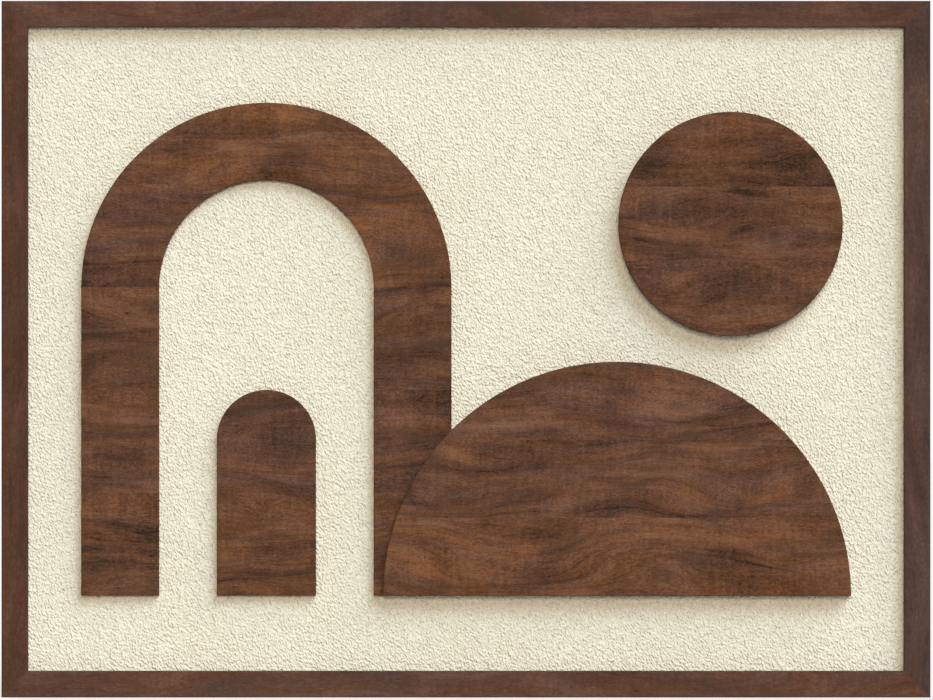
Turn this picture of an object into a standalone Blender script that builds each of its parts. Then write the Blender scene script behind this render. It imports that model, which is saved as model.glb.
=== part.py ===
"""Framed wood relief wall panel: a mitred frame, a plaster panel on a backing board, a two-layer relief of
edge-glued boards, a strainer behind the board and two strap hangers with swinging D-rings.

Units are metres. The front faces -Y, +X is to the right and +Z is up. The origin is the centre of the back,
on the plane of the wall.
"""

import math

import bmesh
import bpy
from mathutils import Matrix, Vector

# Clearance between pieces that touch, and the glue line between boards
FIT = 0.0003

# Frame
FRAME_FACE = 0.0345
FRAME_LIP = 0.020
RABBET_WIDTH = 0.010
FRAME_EASE = 0.0015

# Biscuits in the mitres
BISCUIT_WIDTH = 0.016
BISCUIT_THICKNESS = 0.004
BISCUIT_COVER = 0.003

# Panel, and the bare plaster left round the relief
PLASTER_THICKNESS = 0.002
BOARD_THICKNESS = 0.006
SIDE_MARGIN = 0.0700
END_MARGIN = 0.0990

# Relief
LAYER_THICKNESS = 0.016
RELIEF_EASE = 0.0015
ARCH_RADIUS = 0.243
ARCH_BAND = 0.102
LEG_LENGTH = 0.404
LEG_COURSES = 4
CROWN_SEAT = 0.005
SMALL_ARCH_WIDTH = 0.130
SMALL_ARCH_HEIGHT = 0.270
SMALL_ARCH_COURSES = 2
MOUND_RADIUS = 0.307
MOUND_LAP = 0.090
MOUND_COURSES = 3
DISC_RADIUS = 0.147
DISC_GAP = 0.056
DISC_LEAN = math.radians(17)
DISC_COURSES = 3

# Strainer behind the backing board
STRAINER_WIDTH = 0.034
STRAINER_DEPTH = 0.011
BRACE_WIDTH = 0.060
TENON_LENGTH = 0.012
TENON_WIDTH = 0.036
TENON_THICKNESS = 0.005

# Pan-head screws: the wood left uncut beyond each tip sets the length
SCREW_RADIUS = 0.0020
SCREW_HEAD_RADIUS = 0.0038
SCREW_HEAD_HEIGHT = 0.0024
SCREW_TIP = 0.004
PAN_TOP_SHARE = 0.6
PAN_RIM_SHARE = 0.45
RELIEF_SCREW_COVER = 0.005
STRAINER_SCREW_COVER = 0.012
STRAINER_COUNTERBORE = 0.014
HANGER_SCREW_RADIUS = 0.0017
HANGER_SCREW_HEAD_RADIUS = 0.0034
HANGER_SCREW_COVER = 0.002

# Strap hangers and their D-rings
STRAP_WIDTH = 0.014
STRAP_THICKNESS = 0.0012
STRAP_END = 0.008
STRAP_CORNER = 0.005
STRAP_SCREW_PITCH = 0.018
RING_WIRE_RADIUS = 0.0015
RING_HALF_WIDTH = 0.0125
RING_SIDE = 0.0045
RING_BEND = 0.004
RING_TO_SCREW = 0.0045
HANGER_RISE = 0.110
WALL_CLEARANCE = 0.0015

# Facets
ROUND_STEPS = 12
KNUCKLE_STEPS = 16
HALF_ARC_STEPS = 36
SMALL_ARC_STEPS = 20
DISC_STEPS = 64
EASE_STEPS = 2
MERGE = 0.00001

# Hangers, seen from the side: the strap lies on its bar and curls round the ring's wire
knuckle_inner = RING_WIRE_RADIUS + FIT
knuckle_outer = knuckle_inner + STRAP_THICKNESS
hanger_height = FIT + 2 * knuckle_outer
ring_length = RING_SIDE + RING_HALF_WIDTH + RING_WIRE_RADIUS
first_screw_drop = ring_length + RING_TO_SCREW
strap_length = first_screw_drop + STRAP_SCREW_PITCH + STRAP_END

# Depths, as Y values from the wall at 0 to the front
strainer_back = -(hanger_height + WALL_CLEARANCE)
strainer_front = strainer_back - STRAINER_DEPTH
board_back = strainer_front - FIT
board_front = board_back - BOARD_THICKNESS
plaster_back = board_front - FIT
plaster_front = plaster_back - PLASTER_THICKNESS
lip_back = plaster_front - FIT
frame_front = lip_back - FRAME_LIP
relief_back = plaster_front - FIT
lower_front = relief_back - LAYER_THICKNESS
upper_front = lower_front - FIT - LAYER_THICKNESS
strainer_middle = (strainer_back + strainer_front) / 2

# Relief, laid out from the arch's lower left corner and then centred on the panel
leg_middle = ARCH_RADIUS - ARCH_BAND / 2
arch_height = LEG_LENGTH + ARCH_RADIUS
mound_x = 2 * ARCH_RADIUS - MOUND_LAP + MOUND_RADIUS
disc_reach = MOUND_RADIUS + DISC_GAP + DISC_RADIUS
disc_x = mound_x + disc_reach * math.sin(DISC_LEAN)
disc_z = disc_reach * math.cos(DISC_LEAN)
relief_width = max(mound_x + MOUND_RADIUS, disc_x + DISC_RADIUS)
relief_height = max(arch_height, disc_z + DISC_RADIUS)
left = -relief_width / 2
base = -relief_height / 2
arch_x = left + ARCH_RADIUS
spring_z = base + LEG_LENGTH
crown_joint_z = base + arch_height - ARCH_BAND - CROWN_SEAT
mound_x += left
disc_x += left
disc_z += base

# Frame and panel, from the relief outwards
half_width = relief_width / 2 + SIDE_MARGIN + FRAME_FACE
half_height = relief_height / 2 + END_MARGIN + FRAME_FACE
rail_back = FRAME_FACE - RABBET_WIDTH
panel_half_width = half_width - rail_back - FIT
panel_half_height = half_height - rail_back - FIT
side_bar_half = panel_half_height - STRAINER_WIDTH - FIT
bar_x = panel_half_width - STRAINER_WIDTH / 2
bar_screw_x = panel_half_width / 2
bar_screw_z = side_bar_half / 2
hanger_z = bar_screw_z + HANGER_RISE

to_back = Vector((0, 1, 0))


def material(name, colour, roughness, metallic=0.0):
    """A plain surface with the colour of the real one."""
    made = bpy.data.materials.new(name)
    made.use_nodes = True
    shader = made.node_tree.nodes["Principled BSDF"]
    shader.inputs["Base Color"].default_value = (*colour, 1)
    shader.inputs["Roughness"].default_value = roughness
    shader.inputs["Metallic"].default_value = metallic
    return made


def add_part(name, data, finish, matrix=None):
    """A visible piece of the panel, under its root empty."""
    part = bpy.data.objects.new(name, data)
    part.matrix_world = matrix or Matrix()
    part.parent = root
    parts.objects.link(part)
    if not data.materials:
        data.materials.append(finish)
    return part


def add_cutter(name, data, matrix=None):
    """A hidden shape that other pieces are cut with."""
    cutter = bpy.data.objects.new(name, data)
    cutter.matrix_world = matrix or Matrix()
    cutter.hide_render = True
    cutter.display_type = "WIRE"
    cutters.objects.link(cutter)
    return cutter


def cut(part, cutter, operation="DIFFERENCE"):
    modifier = part.modifiers.new(f"{operation.lower()} {cutter.name}", "BOOLEAN")
    modifier.operation = operation
    modifier.object = cutter


def box_mesh(name, size):
    """A block of the given size, centred on its origin."""
    mesh = bpy.data.meshes.new(name)
    bm = bmesh.new()
    bmesh.ops.create_cube(bm, size=1, matrix=Matrix.Diagonal((*size, 1)))
    bm.to_mesh(mesh)
    bm.free()
    return mesh


def block(low, high):
    """The size and the place of a block between two corners."""
    low, high = Vector(low), Vector(high)
    return high - low, Matrix.Translation((low + high) / 2)


def box_part(name, low, high, finish):
    size, place = block(low, high)
    return add_part(name, box_mesh(name, size), finish, place)


def box_cutter(name, low, high):
    size, place = block(low, high)
    return add_cutter(name, box_mesh(name, size), place)


def arc(centre_x, centre_y, radius, start, end, steps):
    """Points along an arc, with its angles in degrees."""
    turns = [math.radians(start + (end - start) * i / steps) for i in range(steps + 1)]
    return [(centre_x + radius * math.cos(t), centre_y + radius * math.sin(t)) for t in turns]


def outline_mesh(name, outlines, thickness):
    """A flat outline in its local XY plane, with any holes in it, thickened both ways along Z."""
    curve = bpy.data.curves.new(name, "CURVE")
    curve.dimensions = "2D"
    curve.fill_mode = "BOTH"
    curve.extrude = thickness / 2
    for outline in outlines:
        spline = curve.splines.new("POLY")
        spline.points.add(len(outline) - 1)
        for point, (x, y) in zip(spline.points, outline):
            point.co = (x, y, 0, 1)
        spline.use_cyclic_u = True
    guide = bpy.data.objects.new(name, curve)
    cutters.objects.link(guide)
    graph = bpy.context.evaluated_depsgraph_get()
    mesh = bpy.data.meshes.new_from_object(guide.evaluated_get(graph))
    bpy.data.objects.remove(guide)
    bpy.data.curves.remove(curve)
    mesh.name = name
    bm = bmesh.new()
    bm.from_mesh(mesh)
    bmesh.ops.remove_doubles(bm, verts=bm.verts, dist=MERGE)
    bmesh.ops.dissolve_limit(bm, angle_limit=math.radians(0.1), verts=bm.verts, edges=bm.edges)
    bmesh.ops.recalc_face_normals(bm, faces=bm.faces)
    bm.to_mesh(mesh)
    bm.free()
    return mesh


def weigh_edges(mesh, chosen):
    """Marks the edges that a bevel rounds: those that chosen says yes to, given their two end points."""
    weights = mesh.attributes.new("bevel_weight_edge", "FLOAT", "EDGE")
    for edge in mesh.edges:
        ends = [mesh.vertices[i].co for i in edge.vertices]
        weights.data[edge.index].value = 1.0 if chosen(*ends) else 0.0


def round_edges(shape, width, segments):
    modifier = shape.modifiers.new("eased edges", "BEVEL")
    modifier.limit_method = "WEIGHT"
    modifier.width = width
    modifier.segments = segments


def turned_mesh(name, profile):
    """The outline of a turned piece, from its top on the axis to its bottom, before it is revolved."""
    mesh = bpy.data.meshes.new(name)
    edges = [(i, i + 1) for i in range(len(profile) - 1)]
    mesh.from_pydata([(radius, 0, z) for radius, z in profile], edges, [])
    return mesh


def revolve(turned):
    modifier = turned.modifiers.new("turned", "SCREW")
    modifier.steps = ROUND_STEPS
    modifier.render_steps = ROUND_STEPS
    modifier.use_merge_vertices = True
    modifier.merge_threshold = MERGE
    modifier.use_smooth_shade = True


def screw(name, seat, drive, length, radius, head_radius, access):
    """A pan-head screw on a seat, driven along a direction, and the cutter that clears its way.

    The cutter frees the shank by FIT, and opens a bore over the head for a length called access.
    """
    place = Matrix.Translation(seat) @ Vector((0, 0, -1)).rotation_difference(drive).to_matrix().to_4x4()
    shank_end = FIT - length
    profile = [
        (0, FIT + SCREW_HEAD_HEIGHT),
        (head_radius * PAN_TOP_SHARE, FIT + SCREW_HEAD_HEIGHT),
        (head_radius, FIT + SCREW_HEAD_HEIGHT * PAN_RIM_SHARE),
        (head_radius, FIT),
        (radius, FIT),
        (radius, shank_end + SCREW_TIP),
        (0, shank_end),
    ]
    revolve(add_part(name, turned_mesh(name, profile), zinc, place))
    bore = [
        (0, access),
        (head_radius + FIT, access),
        (head_radius + FIT, FIT / 2),
        (radius + FIT, FIT / 2),
        (radius + FIT, shank_end - FIT),
        (0, shank_end - FIT),
    ]
    cutter = add_cutter(f"{name} bore", turned_mesh(f"{name} bore", bore), place)
    revolve(cutter)
    return cutter


def rail(name, length, half_across, quarter):
    """One side of the frame: an L section with a rabbet behind its lip, mitred at both ends.

    In its own frame X runs in from the outer edge, Y from front to back, and Z along the rail.
    """
    ease = FRAME_EASE
    section = [(0, 0), *arc(ease, frame_front + ease, ease, 180, 270, EASE_STEPS)]
    section += arc(FRAME_FACE - ease, frame_front + ease, ease, 270, 360, EASE_STEPS)
    section += [(FRAME_FACE, lip_back), (rail_back, lip_back), (rail_back, 0)]
    mesh = outline_mesh(name, [section], length)
    bm = bmesh.new()
    bm.from_mesh(mesh)
    for end in (-1, 1):
        away = Vector((1, 0, end)).normalized()
        corner = Vector((0, 0, end * length / 2))
        geometry = [*bm.verts, *bm.edges, *bm.faces]
        sawn = bmesh.ops.bisect_plane(
            bm, geom=geometry, plane_co=corner - away * FIT / 2, plane_no=away, clear_outer=True
        )
        rim = [item for item in sawn["geom_cut"] if isinstance(item, bmesh.types.BMEdge)]
        bmesh.ops.contextual_create(bm, geom=rim)
    bmesh.ops.recalc_face_normals(bm, faces=bm.faces)
    bm.to_mesh(mesh)
    bm.free()
    turn = Matrix.Rotation(math.radians(90 * quarter), 4, "Y")
    return add_part(name, mesh, frame_wood, turn @ Matrix.Translation((-half_across, 0, 0)))


def build_frame():
    """Four mitred rails, each corner keyed by a hidden biscuit."""
    sides = {
        "left": rail("frame_left_stile", 2 * half_height, half_width, 0),
        "top": rail("frame_top_rail", 2 * half_width, half_height, 1),
        "right": rail("frame_right_stile", 2 * half_height, half_width, 2),
        "bottom": rail("frame_bottom_rail", 2 * half_width, half_height, 3),
    }
    length = math.sqrt(2) * (FRAME_FACE - 2 * BISCUIT_COVER) - BISCUIT_WIDTH
    size = Vector((length, BISCUIT_THICKNESS, BISCUIT_WIDTH))
    slot = size + Vector((FIT, FIT, FIT)) * 2
    for upright, across in (("left", "top"), ("right", "top"), ("left", "bottom"), ("right", "bottom")):
        x = (half_width - FRAME_FACE / 2) * (-1 if upright == "left" else 1)
        z = (half_height - FRAME_FACE / 2) * (-1 if across == "bottom" else 1)
        lean = math.radians(45 if x * z < 0 else -45)
        place = Matrix.Translation((x, lip_back - FRAME_LIP / 2, z)) @ Matrix.Rotation(lean, 4, "Y")
        name = f"{across}_{upright}_biscuit"
        add_part(name, box_mesh(name, size), beech, place)
        cutter = add_cutter(f"{name} slot", box_mesh(f"{name} slot", slot), place)
        cut(sides[upright], cutter)
        cut(sides[across], cutter)
    return sides


def relief_blank(name, outline, front):
    """A whole relief shape, with its front edges eased, before it is divided into its boards."""
    thickness = relief_back - front
    mesh = outline_mesh(name, [outline], thickness)
    weigh_edges(mesh, lambda a, b: a.z > 0 and b.z > 0)
    upright = Matrix.Rotation(math.radians(90), 4, "X")
    blank = add_cutter(name, mesh, Matrix.Translation((0, (relief_back + front) / 2, 0)) @ upright)
    round_edges(blank, RELIEF_EASE, EASE_STEPS)
    return blank


def relief_board(name, blank, x_span, z_span, finish):
    """One board of a relief shape: a plank trimmed to the shape's outline."""
    beyond = LAYER_THICKNESS
    low = (x_span[0], upper_front - beyond, z_span[0])
    high = (x_span[1], relief_back + beyond, z_span[1])
    board = box_part(name, low, high, finish)
    cut(board, blank, "INTERSECT")
    return board


def courses(bottom, top, count):
    """The heights of the boards that a shape is glued up from, with a glue line between them.

    The lowest and highest boards run past the shape, so that its own outline ends them.
    """
    step = (top - bottom) / count
    spans = []
    for i in range(count):
        low = bottom + i * step + (FIT / 2 if i else -step)
        high = bottom + (i + 1) * step - (FIT / 2 if i < count - 1 else -step)
        spans.append((low, high))
    return spans


def course_middles(bottom, top, count):
    """The middle height of each of those boards, where screws go in clear of the glue lines."""
    step = (top - bottom) / count
    return [bottom + (i + 0.5) * step for i in range(count)]


def build_arch():
    """The tall arch of the lower layer: two legs of short boards under one crown board."""
    top = base + arch_height
    inner = ARCH_RADIUS - ARCH_BAND
    outline = [(arch_x + ARCH_RADIUS, base)]
    outline += arc(arch_x, spring_z, ARCH_RADIUS, 0, 180, HALF_ARC_STEPS)
    outline += [(arch_x - ARCH_RADIUS, base), (arch_x - inner, base)]
    outline += arc(arch_x, spring_z, inner, 180, 0, HALF_ARC_STEPS)
    outline += [(arch_x + inner, base)]
    blank = relief_blank("arch outline", outline, lower_front)
    spans = courses(base, crown_joint_z, LEG_COURSES)
    spans[-1] = (spans[-1][0], crown_joint_z - FIT / 2)
    far = 2 * ARCH_RADIUS
    boards = []
    for side, x_span in (("left", (arch_x - far, arch_x - FIT)), ("right", (arch_x + FIT, arch_x + far))):
        for i, z_span in enumerate(spans):
            boards.append(relief_board(f"arch_{side}_leg_board_{i + 1}", blank, x_span, z_span, relief_wood))
    crown = (crown_joint_z + FIT / 2, top + ARCH_BAND)
    relief_board("arch_crown_board", blank, (arch_x - far, arch_x + far), crown, relief_wood)
    middles = course_middles(base, crown_joint_z, LEG_COURSES)
    fixings = [(arch_x + side * leg_middle, z) for side in (-1, 1) for z in (middles[0], middles[-2])]
    return boards, fixings


def build_small_arch():
    """The small solid arch of the lower layer, standing between the legs of the tall one."""
    half = SMALL_ARCH_WIDTH / 2
    top = base + SMALL_ARCH_HEIGHT
    outline = [(arch_x + half, base)]
    outline += arc(arch_x, top - half, half, 0, 180, SMALL_ARC_STEPS)
    outline += [(arch_x - half, base)]
    blank = relief_blank("small arch outline", outline, lower_front)
    across = (arch_x - SMALL_ARCH_WIDTH, arch_x + SMALL_ARCH_WIDTH)
    boards = []
    for i, span in enumerate(courses(base, top, SMALL_ARCH_COURSES)):
        boards.append(relief_board(f"small_arch_board_{i + 1}", blank, across, span, relief_wood))
    fixings = [(arch_x, z) for z in course_middles(base, top, SMALL_ARCH_COURSES)]
    return boards, fixings


def build_mound():
    """The mound of the upper layer, housed behind where it laps over the arch's right leg."""
    outline = arc(mound_x, base, MOUND_RADIUS, 0, 180, HALF_ARC_STEPS)
    blank = relief_blank("mound outline", outline, upper_front)
    leg_edge = arch_x + ARCH_RADIUS + FIT
    beyond = MOUND_RADIUS
    housing = box_cutter(
        "mound housing",
        (leg_edge - beyond, lower_front - FIT, base - beyond),
        (leg_edge, relief_back + FIT, base + 2 * beyond),
    )
    across = (mound_x - 2 * MOUND_RADIUS, mound_x + 2 * MOUND_RADIUS)
    top = base + MOUND_RADIUS
    boards = []
    for i, span in enumerate(courses(base, top, MOUND_COURSES)):
        board = relief_board(f"mound_board_{i + 1}", blank, across, span, relief_wood)
        cut(board, housing)
        boards.append(board)
    middles = course_middles(base, top, MOUND_COURSES)
    spread = MOUND_RADIUS / 2
    fixings = [(mound_x - spread, middles[0]), (mound_x + spread, middles[0]), (mound_x, middles[1])]
    return boards, fixings


def build_disc():
    """The disc of the upper layer, above the mound."""
    outline = arc(disc_x, disc_z, DISC_RADIUS, 0, 360, DISC_STEPS)[:-1]
    blank = relief_blank("disc outline", outline, upper_front)
    across = (disc_x - 2 * DISC_RADIUS, disc_x + 2 * DISC_RADIUS)
    bottom, top = disc_z - DISC_RADIUS, disc_z + DISC_RADIUS
    boards = []
    for i, span in enumerate(courses(bottom, top, DISC_COURSES)):
        boards.append(relief_board(f"disc_board_{i + 1}", blank, across, span, relief_wood))
    middle = course_middles(bottom, top, DISC_COURSES)[DISC_COURSES // 2]
    spread = DISC_RADIUS / 2
    fixings = [(disc_x - spread, middle), (disc_x + spread, middle)]
    return boards, fixings


def build_panel():
    """The plaster face and the board that carries it, held in the rabbet."""
    w, h = panel_half_width, panel_half_height
    plaster_face = box_part("plaster_face", (-w, plaster_front, -h), (w, plaster_back, h), plaster)
    backing = box_part("backing_board", (-w, board_front, -h), (w, board_back, h), fibreboard)
    return plaster_face, backing


def build_strainer():
    """Four bars that hold the board in the rabbet, and a brace tenoned between the long ones."""
    w, h, s = panel_half_width, panel_half_height, STRAINER_WIDTH
    bars = {}
    for side, z in (("bottom", -h), ("top", h - s)):
        low, high = (-w, strainer_front, z), (w, strainer_back, z + s)
        bars[side] = box_part(f"strainer_{side}_bar", low, high, pine)
    for side, x in (("left", -w), ("right", w - s)):
        low, high = (x, strainer_front, -side_bar_half), (x + s, strainer_back, side_bar_half)
        bars[side] = box_part(f"strainer_{side}_bar", low, high, pine)
    b = BRACE_WIDTH / 2
    brace = box_part("centre_brace", (-b, strainer_front, -side_bar_half), (b, 0, side_bar_half), pine)
    reach = side_bar_half + FIT + TENON_LENGTH
    half = Vector((TENON_WIDTH / 2, TENON_THICKNESS / 2, reach))
    middle = Vector((0, strainer_middle, 0))
    tenon = box_cutter("brace tenons", middle - half, middle + half)
    room = half + Vector((FIT, FIT, FIT))
    mortise = box_cutter("brace mortises", middle - room, middle + room)
    cut(brace, tenon, "UNION")
    cut(bars["top"], mortise)
    cut(bars["bottom"], mortise)
    return bars, brace


def fix_strainer(bars, sides):
    """Two screws a bar, driven out through the bar into the wall of the rabbet."""
    seat_x = panel_half_width - STRAINER_WIDTH + STRAINER_COUNTERBORE
    seat_z = panel_half_height - STRAINER_WIDTH + STRAINER_COUNTERBORE
    bite = rail_back - STRAINER_SCREW_COVER
    length = STRAINER_WIDTH - STRAINER_COUNTERBORE + 2 * FIT + bite
    outward = {"left": (-1, 0), "right": (1, 0), "bottom": (0, -1), "top": (0, 1)}
    for side, (x, z) in outward.items():
        for number, along in enumerate((-1, 1)):
            seat = Vector((x * seat_x, strainer_middle, z * seat_z))
            seat += Vector((abs(z) * along * bar_screw_x, 0, abs(x) * along * bar_screw_z))
            name = f"strainer_{side}_screw_{number + 1}"
            access = STRAINER_COUNTERBORE + FIT
            bore = screw(name, seat, Vector((x, 0, z)), length, SCREW_RADIUS, SCREW_HEAD_RADIUS, access)
            cut(bars[side], bore)
            cut(sides[side], bore)


def fix_relief(groups, through, brace):
    """Screws from behind, through the board and the plaster into each relief shape."""
    skins = board_back - relief_back
    length = FIT + skins + LAYER_THICKNESS - RELIEF_SCREW_COVER
    for shape, (boards, fixings) in groups.items():
        for number, (x, z) in enumerate(fixings):
            name = f"{shape}_screw_{number + 1}"
            seat = Vector((x, board_back, z))
            access = -strainer_front + FIT
            bore = screw(name, seat, -to_back, length, SCREW_RADIUS, SCREW_HEAD_RADIUS, access)
            for piece in (*through, brace, *boards):
                cut(piece, bore)


def strap_mesh():
    """The strap seen from its edge: X runs up from the ring's wire, Y from the bar towards the wall."""
    t, inner, outer = STRAP_THICKNESS, knuckle_inner, knuckle_outer
    meets = 180 + math.degrees(math.asin(inner / outer))
    side = [(-strap_length, 0), *arc(0, outer, outer, -90, meets, KNUCKLE_STEPS), (-strap_length, t)]
    eye = arc(0, outer, inner, 0, 360, KNUCKLE_STEPS)[:-1]
    mesh = outline_mesh("hanger strap", [side, eye], STRAP_WIDTH)
    weigh_edges(mesh, lambda a, b: max(a.x, b.x) < -strap_length + MERGE and abs(a.y - b.y) > MERGE)
    return mesh


def ring_curve():
    """A D of round wire: its straight bar lies on X at the origin, and its bow hangs below."""
    w, side, bend = RING_HALF_WIDTH, RING_SIDE, RING_BEND
    points = arc(bend - w, -bend, bend, 90, 180, EASE_STEPS + 1)
    points += arc(0, -side, w, 180, 360, SMALL_ARC_STEPS)
    points += arc(w - bend, -bend, bend, 0, 90, EASE_STEPS + 1)
    curve = bpy.data.curves.new("d ring", "CURVE")
    curve.dimensions = "3D"
    curve.bevel_depth = RING_WIRE_RADIUS
    curve.bevel_resolution = 2
    spline = curve.splines.new("POLY")
    spline.points.add(len(points) - 1)
    for point, (x, z) in zip(spline.points, points):
        point.co = (x, 0, z, 1)
    spline.use_cyclic_u = True
    return curve


def build_hangers(bars):
    """A strap hanger on each side bar, with its ring hanging down over the strap."""
    upright = Matrix.Rotation(math.radians(-90), 4, "Y")
    strap_shape = strap_mesh()
    ring_shape = ring_curve()
    under = strainer_back + FIT
    pivot_y = under + knuckle_outer
    length = FIT + STRAP_THICKNESS + STRAINER_DEPTH - HANGER_SCREW_COVER
    for side, x in (("left", -bar_x), ("right", bar_x)):
        place = Matrix.Translation((x, under, hanger_z))
        strap = add_part(f"{side}_hanger_strap", strap_shape, zinc, place @ upright)
        round_edges(strap, STRAP_CORNER, EASE_STEPS + 1)
        add_part(f"{side}_hanger_ring", ring_shape, zinc, Matrix.Translation((x, pivot_y, hanger_z)))
        for number in range(2):
            name = f"{side}_hanger_screw_{number + 1}"
            drop = first_screw_drop + number * STRAP_SCREW_PITCH
            seat = Vector((x, under + STRAP_THICKNESS, hanger_z - drop))
            access = SCREW_HEAD_HEIGHT + FIT
            bore = screw(name, seat, -to_back, length, HANGER_SCREW_RADIUS, HANGER_SCREW_HEAD_RADIUS, access)
            cut(strap, bore)
            cut(bars[side], bore)


for old in list(bpy.data.objects):
    bpy.data.objects.remove(old)

parts = bpy.data.collections.new("Wood relief wall panel")
cutters = bpy.data.collections.new("Cutters")
bpy.context.scene.collection.children.link(parts)
bpy.context.scene.collection.children.link(cutters)
root = bpy.data.objects.new("wall_centre", None)
parts.objects.link(root)

frame_wood = material("Stained walnut frame", (0.105, 0.056, 0.040), 0.45)
relief_wood = material("Oiled walnut relief", (0.130, 0.063, 0.038), 0.45)
plaster = material("Cream stippled plaster", (0.79, 0.74, 0.60), 0.85)
fibreboard = material("Raw fibreboard", (0.38, 0.25, 0.15), 0.9)
pine = material("Planed pine", (0.62, 0.43, 0.24), 0.7)
beech = material("Pressed beech", (0.52, 0.34, 0.20), 0.7)
zinc = material("Zinc-plated steel", (0.62, 0.62, 0.60), 0.35, 1.0)

frame_sides = build_frame()
panel = build_panel()
strainer_bars, centre_brace = build_strainer()
relief = {
    "arch": build_arch(),
    "small_arch": build_small_arch(),
    "mound": build_mound(),
    "disc": build_disc(),
}
fix_relief(relief, panel, centre_brace)
fix_strainer(strainer_bars, frame_sides)
build_hangers(strainer_bars)
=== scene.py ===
"""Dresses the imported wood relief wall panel.

The panel has a mitred walnut frame, stippled plaster and two layers of walnut boards, with a pine strainer,
fixings and hangers behind them. Units are metres. The front faces -Y, +X is to the right and +Z is up. Every
place is worked out from the frame.
"""

import math
import random

import bmesh
import bpy
from bpy.props import FloatProperty, FloatVectorProperty, IntProperty, PointerProperty
from mathutils import Matrix, Vector


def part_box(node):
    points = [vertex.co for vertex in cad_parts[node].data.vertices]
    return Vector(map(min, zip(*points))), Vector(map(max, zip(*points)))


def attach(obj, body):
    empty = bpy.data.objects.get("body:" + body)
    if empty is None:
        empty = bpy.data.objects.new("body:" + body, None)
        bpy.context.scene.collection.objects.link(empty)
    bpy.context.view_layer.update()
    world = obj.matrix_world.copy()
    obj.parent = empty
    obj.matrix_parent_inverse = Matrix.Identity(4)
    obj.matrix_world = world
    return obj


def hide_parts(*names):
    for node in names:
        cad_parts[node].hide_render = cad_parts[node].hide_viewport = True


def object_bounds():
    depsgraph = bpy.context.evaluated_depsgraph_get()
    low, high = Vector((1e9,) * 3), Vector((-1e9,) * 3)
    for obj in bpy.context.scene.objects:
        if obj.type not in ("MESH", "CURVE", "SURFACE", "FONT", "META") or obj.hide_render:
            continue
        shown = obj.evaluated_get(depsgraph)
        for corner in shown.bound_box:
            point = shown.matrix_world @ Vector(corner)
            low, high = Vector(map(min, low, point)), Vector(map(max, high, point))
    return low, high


bl_info = {
    "name": "Wood relief wall panel",
    "version": (1, 0, 0),
    "blender": (4, 5, 0),
    "location": "3D View > Sidebar > Wall panel",
    "description": "Dresses a framed wood relief panel with its boards, plaster, strainer and hangers",
    "category": "Object",
}

SEED = 41
# Distances below which a point lies on a plane, and two points are one
TINY = 1e-6
MERGE = 1e-5
# Angle in degrees past which an edge is shaded sharp, where FLAT makes every edge sharp
SMOOTH_ANGLE = 35
PLASTER_SMOOTH_ANGLE = 60
FLAT = 0
# Wear and painted sheen of an eased edge, and painted sheen of the lighter strip along a mitre
ARRIS_WEAR_AND_SHEEN = 0.2
MITRE_SHEEN = 1.0

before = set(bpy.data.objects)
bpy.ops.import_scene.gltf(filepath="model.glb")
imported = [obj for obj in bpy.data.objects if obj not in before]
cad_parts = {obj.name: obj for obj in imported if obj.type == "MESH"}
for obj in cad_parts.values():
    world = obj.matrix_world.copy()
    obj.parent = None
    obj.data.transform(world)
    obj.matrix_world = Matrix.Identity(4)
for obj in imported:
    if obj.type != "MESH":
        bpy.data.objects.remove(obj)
cad_box = [list(corner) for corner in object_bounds()]


def linear(code):
    """An sRGB hex colour as linear red, green, blue and an alpha of 1."""
    shares = [int(code[i : i + 2], 16) / 255 for i in (1, 3, 5)]
    return (*[s / 12.92 if s <= 0.04045 else ((s + 0.055) / 1.055) ** 2.4 for s in shares], 1.0)


def length(name, default, description):
    return FloatProperty(name=name, description=description, default=default, unit="LENGTH", precision=5)


def angle(name, degrees, description):
    return FloatProperty(name=name, description=description, default=math.radians(degrees), subtype="ANGLE")


def amount(name, default, description):
    return FloatProperty(name=name, description=description, default=default)


def count(name, default, description):
    return IntProperty(name=name, description=description, default=default, min=1)


def colour(name, code, description):
    return FloatVectorProperty(
        name=name, description=description, default=linear(code), size=4, subtype="COLOR", min=0, max=1
    )


class WallPanelSizes(bpy.types.PropertyGroup):
    """Sizes of the finish that a maker would change."""

    fit: length("Clearance", 0.0003, "Gap that the frame keeps between pieces that touch")
    arris: length("Arris", 0.0015, "Radius of the eased front edges of the frame and the relief")
    arris_steps: count("Arris steps", 4, "Facets across an eased edge")
    glue_line: length("Glue line", 0.00004, "Gap left between boards that are glued edge to edge")
    # Painted sheen: the strip on each side of a mitre is drawn lighter
    mitre_sheen: length("Mitre wear", 0.0009, "Width of the rubbed strip on each side of a mitre")
    arc_step: angle("Arc step", 1, "Angle between points along a curved edge")
    planed_edge: length("Planed edge", 0.0008, "Width of the broken edges on the pine strainer")
    strap_edge: length("Strap edge", 0.00015, "Width of the tumbled edges on the strap hangers")
    stipple: length("Stipple", 0.0028, "Size of the bumps in the plaster's stipple")
    stipple_depth: length("Stipple depth", 0.0019, "Height of the stipple from its hollows to its ridges")
    stipple_bite: length("Stipple bite", 0.0026, "Height of the sharper stipple that shading adds")
    plaster_pitch: length("Plaster pitch", 0.00115, "Distance between points on the plaster's surface")


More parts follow.
